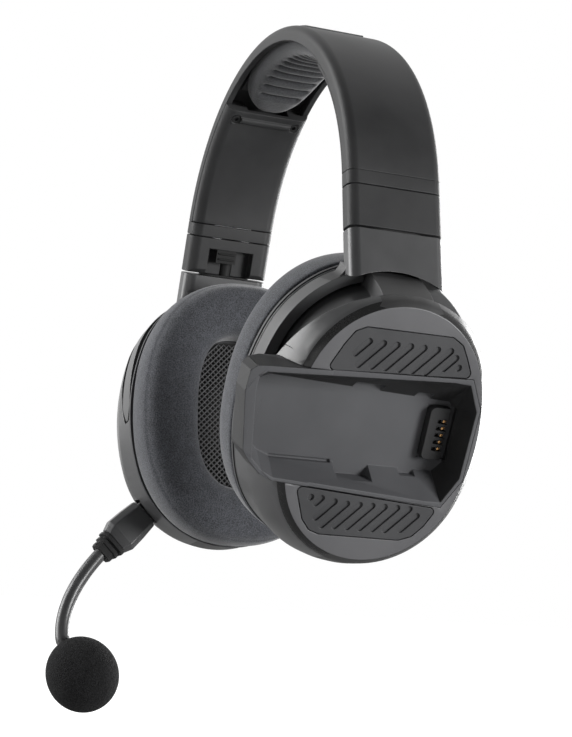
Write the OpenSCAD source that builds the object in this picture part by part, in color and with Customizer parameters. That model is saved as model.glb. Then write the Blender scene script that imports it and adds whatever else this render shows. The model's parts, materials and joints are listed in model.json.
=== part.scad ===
// Wireless over-ear headset with a boom microphone and an open battery bay.
// Millimetres, +Z up, the wearer looks along -Y and +X is the wearer's left.
// The origin lies midway between the two cup hinges, on the line through both ears.

/* [Headband] */
// Width of the band, front to back
band_w = 36; // [32:0.5:42]
// Full thickness of the band at its legs
band_t = 10; // [10:0.25:12]
// Depth of the outer shell, without the inner covers
shell_t = 6.3; // [5.5:0.1:7]
// Thickness of the outer shell's skin
skin = 2; // [1.6:0.1:2.4]
// Radius of the outer surface at the shoulders
shoulder_r = 83.5; // [78:0.5:100]
// How far each shoulder arc's centre lies beyond the middle
shoulder_in = 2.1; // [1:0.1:6]
// How far the crown arc's centre lies above the shoulders' centres
crown_rise = 7.2; // [4:0.1:12]
// Outward splay of the legs
leg_splay = 12.5; // [8:0.5:16]
// Length of the closed collar at each end of the band
collar_len = 5.3; // [4:0.1:8]
// Corner radius along the outer edges of the band
edge_out = 3.5; // [2.5:0.1:4]
// Corner radius along the inner edges of the band
edge_in = 4.5; // [3.5:0.1:5]
// Angle on the shoulder arc where the inner cover ends
cover_end_a = 53; // [40:1:60]

/* [Crown pad] */
// Half of the angle that the pad spans
pad_a = 36.8; // [30:0.1:37]
// Width of the pad
pad_w = 29; // [22:0.5:31]
// Thickness of the pad
pad_t = 8; // [5:0.5:10]
// Number of sewn channels across the pad
pad_channels = 15; // [5:2:19]

/* [Sliders] */
// Length of the slider block below the band
slider_len = 15.5; // [13:0.5:20]
// Travel of the extension slide
slide_travel = 20; // [10:1:22]
// Width of the steel rail
rail_w = 16; // [12:0.5:20]
// Thickness of the steel rail
rail_t = 1.2; // [0.8:0.1:1.6]
// Diameter of the swivel post
post_d = 5; // [3.6:0.1:5.2]

/* [Cups] */
// Width of a cup, front to back
cup_w = 85; // [82:1:92]
// Height of a cup
cup_h = 105; // [98:1:116]
// Radius of the arcs at the top and bottom of a cup
end_r = 40.5; // [34:0.5:40.5]
// Depth of a cup from its rim to its face
cup_d = 31.4; // [29.4:0.5:36.4]
// Height of the foot between the yoke ring and the swivel gap
foot_h = 11.6; // [9:0.1:14]
// Lean of the yoke ring, top outwards
yoke_lean = 20; // [10:1:24]
// How far each cup's middle lies below its hinge line
cup_drop = 2; // [0:0.5:6]
// How far each cup's middle lies in front of the headband's middle
cup_fwd = 1; // [0:0.5:4]
// Tilt of the left cup as it hangs
tilt_left = 20; // [0:1:20]
// Tilt of the right cup as it hangs
tilt_right = 7.5; // [0:0.5:18]
// Width of the yoke ring, seen from the front
yoke_w = 8; // [6:0.5:10]
// Thickness of the yoke ring
yoke_t = 4; // [3:0.25:5]
// Diameter of the cup hinge pins
pin_d = 3.2; // [2:0.1:4]

/* [Ear cushions] */
// Thickness of an ear cushion
cushion_t = 18.5; // [14:0.5:24]
// Width of the ear opening
ear_w = 38; // [32:1:44]
// Height of the ear opening
ear_h = 61; // [52:1:66]

/* [Battery bay] */
// Depth of the pocket for the battery
bay_depth = 12; // [9:0.5:12]
// Number of spring contacts
contact_count = 5; // [3:1:6]
// Pitch of the spring contacts
contact_pitch = 2.5; // [2:0.1:3]

/* [Boom] */
// Length of the boom's plug block outside the cup
boom_block_l = 17.8; // [14:0.1:28]
// Width of the plug block
boom_block_w = 14; // [10:0.5:15]
// Thickness of the plug block
boom_block_t = 8; // [6:0.5:9]
// Diameter of the boom tube
tube_d = 5.5; // [4:0.1:6.5]
// Diameter of the foam windscreen
foam_d = 28; // [24:0.5:38]

/* [Clearances] */
// Running clearance of pins and posts, on the radius
run_gap = 0.05; // [0.03:0.01:0.1]
// Gap round parts that move past each other
move_gap = 0.4; // [0.3:0.05:0.6]
// Gap at the swivel between slider and yoke
swivel_gap = 0.8; // [0.5:0.1:1.2]

/* [Hidden] */
$fn = 72;

dark = [0.16, 0.16, 0.17];
mid = [0.24, 0.24, 0.25];
black = [0.06, 0.06, 0.065];
fabric = [0.25, 0.26, 0.29];
steel = [0.7, 0.71, 0.73];
gold = [0.85, 0.65, 0.3];
board_green = [0.1, 0.3, 0.16];

// ---- lines and centres of the headband, as [x, z] on the left side ----
half_t = band_t / 2;
leg_up = [-sin(leg_splay), cos(leg_splay)];
leg_out = [cos(leg_splay), sin(leg_splay)];
cup_a = cup_w / 2;
cup_b = cup_h / 2;
side_r = (cup_a * cup_a + (cup_b - end_r) * (cup_b - end_r) - end_r * end_r) / (2 * (cup_a - end_r));
// crown and shoulder arcs are tangent where the line through their centres leaves the band
crown_r = shoulder_r - norm([shoulder_in, crown_rise]);
crown_a = atan2(shoulder_in, crown_rise);
shoulder_x = -shoulder_in;
arc_end_x = shoulder_x + (shoulder_r - half_t) * cos(leg_splay);
ring_top = cup_b - cup_drop;
ring_top_z = ring_top * cos(yoke_lean);
swivel_x = arc_end_x + (collar_len + slider_len) * sin(leg_splay);
swivel_z = ring_top_z + foot_h * cos(leg_splay);
leg_len = slider_len + collar_len;
shoulder_z = round(100 * (swivel_z + leg_len * cos(leg_splay)
  - (shoulder_r - half_t) * sin(leg_splay))) / 100;
crown_z = shoulder_z + crown_rise;
ring_set = 1.6;
hinge_x = swivel_x + foot_h * sin(leg_splay) - ring_set - ring_top * sin(yoke_lean);

seam_gap = 0.3;
wall = 2.4;
cover_wall = 1.8;
rail_x = -half_t + cover_wall + 0.3;
rail_above = slide_travel + 10;
rail_prong = 4;
prong_gap = 9;
screw_a = cover_end_a - 3.4;
screw_y = band_w / 2 - 5.4;
screw_head_d = 3.6;

// ---- cup sizes, in the cup's own frame: u forward-back, v up, w outwards ----
rim_w = -5.4;
face_w = rim_w + cup_d;
side_straight_w = 8;
taper = 5;
chamfer_w = 2;
chamfer_in = 2.2;
hinge_room = yoke_t + 1.2;
core_wall = 2;
baffle_t = 2.5;
rim_lip = 0.4;
cushion_w = rim_w - baffle_t;
neck_half = 9.6;
neck_r = ring_top - 0.8;
tilt_travel = 20;
arm_tip = 7;
arm_tip_half = 1;
wedge_gap = 0.4;
driver_d = 40;
cavity_top_w = 11.4;
right_top_w = 21;

// battery bay, outlines as [u, v]
bay_floor_w = face_w - bay_depth;
bay_back_w = bay_floor_w - 1.8;
bay_rim = 0.6;
bay_outline = [[-53.8, 11], [-53.3, 18], [-51, 19.9], [-47, 20.1], [28.6, 22.9], [34, 12.4],
               [33.6, -13.4], [27.4, -24], [-38, -19.3], [-42.8, -17.2], [-47.6, -12.9],
               [-50.2, -9.6]];
bay_mouth = [[-50.2, 11.5], [-50, 16.4], [-47.4, 18.2], [27.9, 21.8], [32.7, 12], [32.2, -13],
             [26.8, -22.8], [-37.5, -18.2], [-42, -16.2], [-46.6, -12]];
bay_floor = [[-46, 9.5], [-44, 13], [-41, 14.2], [27.8, 11.2], [30.6, 8], [30.4, -11],
             [27, -14.6], [-35.5, -14.5], [-40, -12.8], [-43.6, -9.6]];
upper_vent = [[-26.4, 20.9], [-21.9, 30.4], [-19, 35], [-15.2, 36.8], [17.2, 36.7],
              [21.5, 34.3], [24.2, 29.8], [27.6, 23.4]];
lower_vent = [[-28, -20.5], [-23.2, -32.1], [-19.9, -35.7], [-16.1, -36.9], [14.2, -37],
              [19, -35.2], [22.6, -31.2], [26.2, -24.6]];
vent_t = 1.4;
slot_depth = 0.7;
vent_inset = 0.25;
slot_lean = 48;
slot_d = 2.2;

// boom, in the right cup's frame
boom_u = -29.6;
boom_v = -39.4;
boom_w = 9.5;
boom_down = 135;
plug_l = 8;
plug_w = 8.6;
plug_t = 4;
socket_wall = 1.4;
socket_room = socket_wall + 0.2;

// buttons on the rear wall of the right cup
button_d = 7;
button_travel = 0.6;
button_proud = 0.8;
button_depth = 4.6;
button_w = 3;
// middle and radius of the arc that each button stands on, and its angle on that arc
button_spots = [[cup_a - side_r, 0, side_r, -9.5], [cup_a - side_r, 0, side_r, -16],
                [0, end_r - cup_b, end_r, -29]];

// ---- helpers ----
module left_right(side) {
  if (side > 0) children();
  else mirror([1, 0, 0]) children();
}

// leg frame: origin on the swivel axis, z up the leg, x outwards
module leg_frame(side) {
  left_right(side) translate([swivel_x, 0, swivel_z]) rotate([0, -leg_splay, 0]) children();
}

// yoke frame and cup frame, drawn as u, v, w: the yoke's origin is on the hinge line
module hinge_frame(side, lean) {
  left_right(side) translate([hinge_x, 0, 0]) rotate([0, lean, 0]) rotate([90, 0, 90])
    translate([-cup_fwd, 0, 0]) children();
}
module yoke_frame(side) {
  hinge_frame(side, yoke_lean) children();
}
module cup_frame(side) {
  hinge_frame(side, side > 0 ? tilt_left : tilt_right) translate([0, -cup_drop, 0]) children();
}

// ring of the band: the 2-D child's x is the height above the band's middle surface
module band_ring(centre_x, centre_z, r) {
  translate([centre_x, 0, centre_z]) rotate([90, 0, 0])
    rotate_extrude($fn = 180) translate([r - half_t, 0]) children();
}
module along_y(points) {
  rotate([90, 0, 0]) translate([0, 0, -60]) linear_extrude(120) polygon(points);
}
// the part of the crown between two angles from the top, and of a shoulder between two
// angles from the horizontal; either can end on the line through both arcs' centres
reach = 24;
module crown_arc(a) {
  seam = a >= crown_a;
  intersection() {
    band_ring(0, crown_z, crown_r) children();
    along_y([for (s = [0, 1, -1]) [0, crown_z] + s * s
             * (seam ? [s * reach * shoulder_in, reach * crown_rise] : 200 * [s * sin(a), cos(a)])]);
  }
}
module shoulder_arc(side, a0, a1 = 90) {
  seam = a1 >= 90 - crown_a;
  left_right(side) intersection() {
    band_ring(shoulder_x, shoulder_z, shoulder_r) children();
    along_y([[shoulder_x, shoulder_z],
             [shoulder_x + 200 * cos(a0), shoulder_z + 200 * sin(a0)],
             seam ? [shoulder_x + 200, shoulder_z + reach * crown_rise]
                  : [shoulder_x + 200 * cos(a1), shoulder_z + 200 * sin(a1)],
             seam ? [shoulder_x + reach * shoulder_in, shoulder_z + reach * crown_rise]
                  : [shoulder_x + 200 * cos(a1), shoulder_z + 200 * sin(a1)]]);
  }
}
// a point on the shoulder, depth below the outer surface, x outwards along the radius
module on_shoulder(side, a, depth, y) {
  left_right(side) translate([shoulder_x, 0, shoulder_z]) rotate([0, -a, 0])
    translate([shoulder_r - depth, y, 0]) children();
}

// full section of a leg: rounded outside and more rounded inside
module leg_profile() {
  hw = band_w / 2;
  translate([-half_t + edge_in, -hw]) square([band_t - edge_in - edge_out, band_w]);
  translate([half_t - edge_out, -hw + edge_out]) square([edge_out, band_w - 2 * edge_out]);
  translate([-half_t, -hw + edge_in]) square([edge_in, band_w - 2 * edge_in]);
  for (s = [-1, 1]) {
    translate([half_t - edge_out, s * (hw - edge_out)]) circle(edge_out);
    translate([-half_t + edge_in, s * (hw - edge_in)]) circle(edge_in);
  }
}
module shell_profile() {
  difference() {
    intersection() {
      leg_profile();
      translate([half_t - shell_t, -band_w / 2]) square([shell_t, band_w]);
    }
    translate([-half_t, -band_w / 2 + wall]) square([band_t - skin, band_w - 2 * wall]);
  }
}
module cover_profile() {
  difference() {
    intersection() {
      leg_profile();
      translate([-half_t, -band_w / 2]) square([band_t - shell_t, band_w]);
    }
    translate([-half_t + cover_wall, -rail_w / 2 - 0.8])
      square([band_t, rail_w + 1.6]);
  }
}

// oval of four true arcs, drawn as a solid: the profile's x is the offset from the
// cup's outline and its y the height w
join_a = atan2(cup_b - end_r, side_r - cup_a);
join_u = end_r * cos(join_a);
join_v = cup_b - end_r + end_r * sin(join_a);
module oval_2d(offset = 0) {
  ve = cup_b - end_r;
  for (s = [-1, 1]) intersection() {
    translate([0, s * ve]) circle(end_r + offset, $fn = 96);
    translate([-cup_w, s > 0 ? join_v - 0.01 : -join_v - cup_h + 0.01]) square([2 * cup_w, cup_h]);
  }
  intersection() {
    translate([side_r - cup_a, 0]) circle(side_r + offset, $fn = 180);
    translate([cup_a - side_r, 0]) circle(side_r + offset, $fn = 180);
    translate([-cup_w, -join_v]) square([2 * cup_w, 2 * join_v]);
  }
}
module oval_plate(offset, w0, w1) {
  translate([0, 0, w0]) linear_extrude(w1 - w0) oval_2d(offset);
}
function superoval(a, b, e, n) = [for (i = [0 : n - 1])
  let (t = 360 * i / n, c = cos(t), s = sin(t))
  [a * sign(c) * pow(abs(c), 2 / e), b * sign(s) * pow(abs(s), 2 / e)]];

// closed skin over rings of equal point count, capped or joined end to end
module ring_skin(rings, closed = false) {
  n = len(rings[0]);
  m = len(rings);
  wrap = closed ? m : m - 1;
  sides = [for (i = [0 : wrap - 1], j = [0 : n - 1])
    let (a = i * n + j, b = i * n + (j + 1) % n,
         c = ((i + 1) % m) * n + (j + 1) % n, d = ((i + 1) % m) * n + j)
    each [[a, b, c], [a, c, d]]];
  caps = closed ? [] : [[for (j = [n - 1 : -1 : 0]) j], [for (j = [0 : n - 1]) (m - 1) * n + j]];
  polyhedron(points = [for (r = rings) each r], faces = concat(sides, caps), convexity = 6);
}

// ---- headband ----
module band_shell() color(dark) {
  difference() {
    union() {
      crown_arc(90) shell_profile();
      for (side = [-1, 1]) {
        shoulder_arc(side, leg_splay) shell_profile();
        leg_frame(side) {
          translate([0, 0, slider_len + seam_gap])
            linear_extrude(collar_len - seam_gap) leg_profile();
          // rib inside the channel that ties it to the collar
          translate([half_t - shell_t + 0.6, -band_w / 2 + 1.2, leg_len - 2])
            cube([shell_t - 1.6, band_w - 2.4, 3.5]);
        }
        for (s = [-1, 1]) on_shoulder(side, screw_a, shell_t, s * (screw_y + 0.6) - 3.6)
          translate([0, 0, -3.2]) cube([shell_t - skin + 0.5, 7.2, 6.4]);
      }
    }
    for (side = [-1, 1]) {
      leg_frame(side) translate([rail_x - 0.2, -rail_w / 2 - 0.2, slider_len - 1])
        cube([rail_t + 0.4, rail_w + 0.4, collar_len + 4]);
      for (s = [-1, 1]) on_shoulder(side, screw_a, shell_t + 1, s * screw_y)
        rotate([0, 90, 0]) cylinder(d = 1.8, h = shell_t - skin + 1);
    }
  }
}

// thin bare plate on the middle of the crown
plate_a = 13;
module crown_plate() color(mid)
  crown_arc(plate_a) translate([half_t, -12]) square([0.6, 24]);

module inner_cover(side) color(dark) {
  rib_depth = band_t - 0.3;
  difference() {
    union() {
      shoulder_arc(side, leg_splay + 0.2, cover_end_a) cover_profile();
      on_shoulder(side, screw_a, rib_depth, -screw_y) rotate([-90, 0, 0])
        cylinder(r = 1.5, h = 2 * screw_y);
    }
    for (s = [-1, 1]) on_shoulder(side, screw_a, band_t + 3, s * screw_y) rotate([0, 90, 0]) {
      cylinder(d = screw_head_d + 0.4, h = 4.8);
      cylinder(d = 2.2, h = 9);
    }
  }
}

// one group of four: a pan head with a hexagon socket on a short shank
module cover_screws() color(black)
  for (side = [-1, 1], s = [-1, 1]) on_shoulder(side, screw_a, band_t - 0.2, s * screw_y)
    rotate([0, 90, 0]) difference() {
      union() {
        cylinder(d = screw_head_d, h = 1.6);
        cylinder(d = 1.8, h = 6);
      }
      translate([0, 0, -1]) cylinder(d = 2, h = 1.8, $fn = 6);
    }

base_depth = skin;
base_t = 1.4;
module pad_base() color(black) {
  crown_arc(90)
    translate([half_t - base_depth - base_t, -pad_w / 2 + 1.5]) square([base_t, pad_w - 3]);
  for (side = [-1, 1]) shoulder_arc(side, 90 - pad_a + 4)
    translate([half_t - base_depth - base_t, -pad_w / 2 + 1.5]) square([base_t, pad_w - 3]);
}

// a point of the pad: a is the angle from the top, positive to the left
function band_point(a, y, depth) = abs(a) <= crown_a
  ? [(crown_r - depth) * sin(a), y, crown_z + (crown_r - depth) * cos(a)]
  : [sign(a) * (shoulder_x + (shoulder_r - depth) * sin(abs(a))), y,
     shoulder_z + (shoulder_r - depth) * cos(a)];
pad_top = base_depth + base_t + 0.02;
function pad_half(a) = pad_w / 2 * pow(max(0, 1 - pow(abs(a) / pad_a, 3.2)), 1 / 2.2);
// how far a channel is let in, from 0 between channels to 1 in its middle
function channel(a) = let (q = a / (1.7 * pad_a) * pad_channels, r = q - round(q))
  abs(a) < 0.85 * pad_a ? pow(max(0, cos(360 * r)), 3) : 0;
function pad_ring(a) = let (h = max(pad_half(a), 0.6), f = sqrt(min(1, h / (pad_w / 2))),
    d = pad_top + (pad_t - pad_top + shell_t - 3.4) * f, g = 1.5 * channel(a) * f)
  [for (p = [[-1, 0.02], [-1, 0.5], [-0.93, 0.84], [-0.76, 0.99], [-0.6, 1], [-0.2, 1.03],
             [0.2, 1.03], [0.6, 1], [0.76, 0.99], [0.93, 0.84], [1, 0.5], [1, 0.02]])
    band_point(a, h * p[0], pad_top + (d - pad_top) * p[1] - (abs(p[0]) < 0.7 ? g : 0))];
module crown_pad() color(fabric)
  ring_skin([for (i = [-50 : 50]) pad_ring(pad_a * i / 50 * 0.998)]);

// ---- sliders ----
window_w = 19.4;
window_h = 11;
window_d = 4;
clip_z = 13;
clip_room_d = 8.2;
module slider_block(side) color(dark)
  leg_frame(side) difference() {
    translate([0, 0, swivel_gap / 2]) linear_extrude(slider_len - swivel_gap / 2) leg_profile();
    translate([-half_t - 1, -window_w / 2, -1]) cube([window_d + 1, window_w, window_h + 1]);
    cylinder(d = post_d + 2 * run_gap, h = slider_len + 1);
    translate([0, 0, clip_z - 0.1]) cylinder(d = clip_room_d, h = slider_len);
    for (s = [-1, 1]) translate([rail_x, s * (prong_gap + rail_w) / 4 - (rail_w - prong_gap) / 4,
                                 slider_len - rail_prong])
      cube([rail_t, (rail_w - prong_gap) / 2, rail_prong + 1]);
    // chamfer across the lower inner corners
    for (s = [-1, 1]) translate([-half_t, s * (band_w / 2 + window_w / 2) / 2, 0])
      rotate([0, 45, 0]) cube([3, (band_w - window_w) / 2 + 1, 3], center = true);
  }

module slider_rail(side) color(steel)
  leg_frame(side) difference() {
    translate([rail_x, -rail_w / 2, slider_len - rail_prong])
      cube([rail_t, rail_w, rail_prong + rail_above]);
    translate([rail_x - 1, -prong_gap / 2, slider_len - rail_prong - 1])
      cube([rail_t + 2, prong_gap, rail_prong + 1.6]);
    // row of detent holes and the stop slot
    for (i = [0 : 5]) translate([rail_x - 1, 0, slider_len + 6 + i * 3.4]) rotate([0, 90, 0])
      cylinder(d = 1.6, h = rail_t + 2);
  }

module cable_clip(side) color(black)
  leg_frame(side) translate([-half_t + 0.5, -6, 5.6]) {
    cube([1.8, 8.6, 5.4]);
    for (i = [0, 1]) translate([0, 0.8, 1.6 + 2.2 * i]) rotate([-90, 0, 0])
      cylinder(d = 0.9, h = 7);
  }

// ---- yokes ----
module swivel_post(side) color(steel)
  leg_frame(side) translate([0, 0, -6]) difference() {
    cylinder(d = post_d, h = 6 + clip_z + 1.8);
    translate([0, 0, 6 + clip_z]) difference() {
      cylinder(d = post_d + 1, h = 1);
      translate([0, 0, -1]) cylinder(d = post_d - 0.8, h = 3);
    }
  }

module post_clip(side) color(steel)
  leg_frame(side) translate([0, 0, clip_z + 0.05]) difference() {
    cylinder(d = clip_room_d - 0.8, h = 0.9);
    translate([0, 0, -1]) cylinder(d = post_d - 0.7, h = 3);
    translate([0, -(post_d - 1.4) / 2, -1]) cube([clip_room_d, post_d - 1.4, 3]);
  }

// outline of a yoke arm seen from the front, with a gap all round
module arm_outline(g = 0, top = 80) {
  h = yoke_w / 2 + g;
  polygon([[-h, top], [-h, -1], [-arm_tip_half - g, -arm_tip - g], [arm_tip_half + g, -arm_tip - g],
           [h, -1], [h, top]]);
}
module yoke_oval(offset, w0, w1) {
  translate([0, -cup_drop, 0]) oval_plate(offset, w0, w1);
}
module yoke_ring() {
  intersection() {
    difference() {
      yoke_oval(0, -yoke_w / 2, yoke_w / 2);
      yoke_oval(-yoke_t, -yoke_w, yoke_w);
    }
    prism_wv(cup_w + 20) arm_outline(0);
  }
}
// prism along u of a 2-D child drawn with x = w and y = v
module prism_wv(length) {
  rotate([0, -90, 0]) translate([0, 0, -length / 2]) linear_extrude(length) children();
}

fillet_r = 5;
oval_v = cup_b - end_r - cup_drop;
foot_drop = foot_h + 9;
// rounds the corner where the foot runs into the ring, on the side s
module foot_fillet(s) {
  u = band_w / 2 + s * cup_fwd + fillet_r;
  v = oval_v + sqrt(pow(end_r + fillet_r, 2) - u * u);
  difference() {
    polygon([[s * 16, v], [s * u, v], [s * u * 0.86, oval_v + (v - oval_v) * 0.86],
             [s * 16, ring_top - 10]]);
    translate([s * u, v]) circle(fillet_r);
  }
}
module yoke(side) color(dark)
  difference() {
    union() {
      yoke_frame(side) {
        yoke_ring();
        for (s = [-1, 1]) translate([0, 0, 1 - yoke_w / 2]) linear_extrude(yoke_w - 2)
          foot_fillet(s);
      }
      leg_frame(side) translate([0, 0, -foot_drop]) linear_extrude(foot_drop - swivel_gap / 2)
        leg_profile();
    }
    yoke_frame(side) {
      yoke_oval(-yoke_t, -30, 30);
      // the foot's outer half ends on the cup's outline, its inner half behind the ring
      yoke_oval(0.3, yoke_w / 2, 30);
      translate([-cup_w, 0, -30]) cube([2 * cup_w, ring_top + 1.6, 30 - yoke_w / 2]);
      rotate([0, 90, 0]) translate([0, 0, -neck_half - move_gap])
        cylinder(r = neck_r + move_gap, h = 2 * (neck_half + move_gap), $fn = 180);
      rotate([0, 90, 0]) translate([0, 0, -cup_a + 1]) cylinder(d = pin_d, h = cup_w - 2);
    }
    leg_frame(side) translate([0, 0, -6]) cylinder(d = post_d, h = 10);
  }

pin_in = cup_a - hinge_room - 4;
module hinge_pins(side) color(steel)
  yoke_frame(side) for (s = [-1, 1]) rotate([0, s * 90, 0]) translate([0, 0, pin_in])
    cylinder(d = pin_d, h = cup_a - 1 - pin_in);

// ---- cups ----
function side_profile(w0, w1) = [[0, w0], [0, side_straight_w], [-1, side_straight_w + 5],
  [-2.5, side_straight_w + 10], [-taper, w1 - chamfer_w], [-taper - chamfer_in, w1]];

// the cup body: a turned piece about each of the oval's four centres, meeting on the
// lines through those centres
module turned(r, w0, w1) {
  rotate_extrude($fn = 180)
    polygon(concat([[0, w0]], [for (q = side_profile(w0, w1)) [r + q[0], q[1]]], [[0, w1]]));
}
far = 4;
module cup_body(w0, w1) {
  e = cup_b - end_r;
  c = side_r - cup_a;
  for (s = [-1, 1]) {
    intersection() {
      translate([0, s * e, 0]) turned(end_r, w0, w1);
      translate([0, 0, w0 - 1]) linear_extrude(w1 - w0 + 2)
        polygon([[0, s * e], [far * c, s * (far + 1) * e], [-far * c, s * (far + 1) * e]]);
    }
    intersection() {
      translate([-s * c, 0, 0]) turned(side_r, w0, w1);
      translate([0, 0, w0 - 1]) linear_extrude(w1 - w0 + 2)
        polygon([[-s * c, 0], [s * far * c, (far + 1) * e], [s * far * c, -(far + 1) * e]]);
    }
  }
}

// room that a yoke arm needs while the cup tilts
module tilt_wedge() {
  prism_wv(cup_w + 20) {
    arm_outline(wedge_gap);
    rotate([0, 0, -tilt_travel]) arm_outline(wedge_gap);
    polygon([[0, 0], [0, 80], [80 * sin(tilt_travel), 80 * cos(tilt_travel)]]);
  }
}
// the body inside the yoke: turned about the hinge line, so the ring clears it as it tilts
module hinge_core() {
  rotate([0, 90, 0]) rotate_extrude($fn = 180) rotate([0, 0, 90]) intersection() {
    translate([0, cup_drop]) mirror([0, 1]) oval_2d(-hinge_room);
    translate([-cup_w, -cup_h]) square([2 * cup_w, cup_h]);
  }
  intersection() {
    rotate([0, 90, 0]) translate([0, 0, -neck_half]) cylinder(r = neck_r, h = 2 * neck_half,
                                                             $fn = 180);
    translate([-cup_w, 0, rim_w - 1]) cube([2 * cup_w, cup_h, cup_d + 2]);
  }
}

module vent_poly(points, grow = 0) {
  offset(r = 1.6 + grow, $fn = 24) offset(delta = -1.6) polygon(points);
}
module bay_poly(points) {
  polygon(points);
}

// keeps a full wall behind the turned body
module core_cavity() {
  rotate([0, 90, 0]) rotate_extrude($fn = 180) rotate([0, 0, 90]) intersection() {
    translate([0, cup_drop]) mirror([0, 1]) oval_2d(-hinge_room - core_wall);
    translate([-cup_w, -cup_h]) square([2 * cup_w, cup_h]);
  }
  translate([-cup_w, -cup_h, rim_w - 1]) cube([2 * cup_w, cup_h - arm_tip - 4, cup_d]);
}
module cup_common(top_w) {
  difference() {
    cup_body(rim_w, face_w);
    translate([0, cup_drop, 0]) difference() {
      tilt_wedge();
      hinge_core();
    }
    difference() {
      intersection() {
        oval_plate(-hinge_room - core_wall, rim_w - 1, top_w);
        translate([0, cup_drop, 0]) core_cavity();
      }
      for (s = [-1, 1]) translate([0, cup_drop, 0]) rotate([0, s * 90, 0])
        translate([0, 0, pin_in - 2]) cylinder(d = 9, h = 12);
    }
    for (s = [-1, 1]) translate([0, cup_drop, 0]) rotate([0, s * 90, 0])
      translate([0, 0, pin_in - 0.3]) cylinder(d = pin_d + 2 * run_gap, h = 20);
  }
}

// posts through a circuit board, staked over below it
board_t = 1.6;
post_hole_d = 2.4;
main_posts = [[-19, -30], [19, -30]];
control_posts = [[-16, 24], [16, 24], [-16, 8], [16, 8]];
module board_posts(places, top_w) {
  for (q = places) translate([q[0], q[1], top_w - board_t - 0.8])
    cylinder(d = post_hole_d - 0.2, h = board_t + 1.2);
}

module cup_shell_left() color(dark)
  cup_frame(1) {
    board_posts(main_posts, cavity_top_w);
    difference() {
      cup_common(cavity_top_w);
      translate([0, 0, bay_back_w]) linear_extrude(20) bay_poly(bay_outline);
      for (o = [upper_vent, lower_vent])
        translate([0, 0, face_w - vent_t]) linear_extrude(5) vent_poly(o, vent_inset);
    }
  }

module cup_shell_right() color(dark)
  cup_frame(-1) {
    board_posts(control_posts, right_top_w);
    difference() {
      union() {
        cup_common(right_top_w);
        boom_frame() translate([-boom_block_l - 2, -plug_w / 2 - socket_room - 2,
                                -plug_t / 2 - socket_room - 2])
          cube([boom_block_l - 3, plug_w + 2 * socket_room + 4, plug_t + 2 * socket_room + 4]);
      }
      oval_plate(-taper - chamfer_in - 1.6, face_w - 2.2, face_w + 5);
      boom_frame() translate([-boom_block_l, -plug_w / 2 - socket_room, -plug_t / 2 - socket_room])
        cube([boom_block_l + 8, plug_w + 2 * socket_room, plug_t + 2 * socket_room]);
      for (q = button_spots) button_frame(q) translate([0, 0, -button_depth])
        cylinder(d = button_d + 0.6, h = 20);
    }
  }

module face_cap_right() color(mid)
  cup_frame(-1) {
    oval_plate(-taper - chamfer_in - 1.9, face_w - 2.2, face_w - 0.6);
    oval_plate(-taper - chamfer_in - 6, face_w - 0.6, face_w + 0.2);
  }

module baffle(side) color(mid)
  cup_frame(side) difference() {
    union() {
      oval_plate(-0.6, rim_w - baffle_t, rim_w);
      oval_plate(rim_lip, rim_w - 1.2, rim_w);
    }
    translate([0, 2, rim_w - baffle_t - 1]) cylinder(d = driver_d - 2, h = baffle_t + 2);
  }

cushion_n = 56;
cushion_section = [[0, 0], [1, 0], [1.012, 0.35], [1, 0.62], [0.93, 0.85], [0.8, 0.97],
                   [0.6, 1], [0.3, 0.99], [0.1, 0.9], [0.01, 0.7], [0, 0.35]];
module ear_cushion(side) color(fabric) {
  outer = superoval(cup_a + 0.2, cup_b + 0.2, 2.25, cushion_n);
  inner = superoval(ear_w / 2, ear_h / 2, 2.7, cushion_n);
  cup_frame(side) mirror([0, 0, 1]) translate([0, 0, -cushion_w + 0.02])
    ring_skin([for (i = [0 : cushion_n - 1]) [for (p = cushion_section)
      [inner[i][0] + (outer[i][0] - inner[i][0]) * p[0],
       inner[i][1] + (outer[i][1] - inner[i][1]) * p[0], cushion_t * p[1]]]], closed = true);
}

module ear_mesh(side) color(black)
  cup_frame(side) translate([0, 0, cushion_w - 0.92])
    linear_extrude(0.9) polygon(superoval(ear_w / 2 - 0.5, ear_h / 2 - 0.5, 2.7, 56));

module driver(side) color(steel)
  cup_frame(side) translate([0, 2, rim_w]) {
    difference() {
      cylinder(d = driver_d + 2, h = 2);
      translate([0, 0, -1]) cylinder(d = driver_d - 6, h = 2.2);
    }
    translate([0, 0, 1.9]) cylinder(d = driver_d - 4, h = 2.1);
    translate([0, 0, 3.9]) cylinder(d = 22, h = 4);
  }

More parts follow.
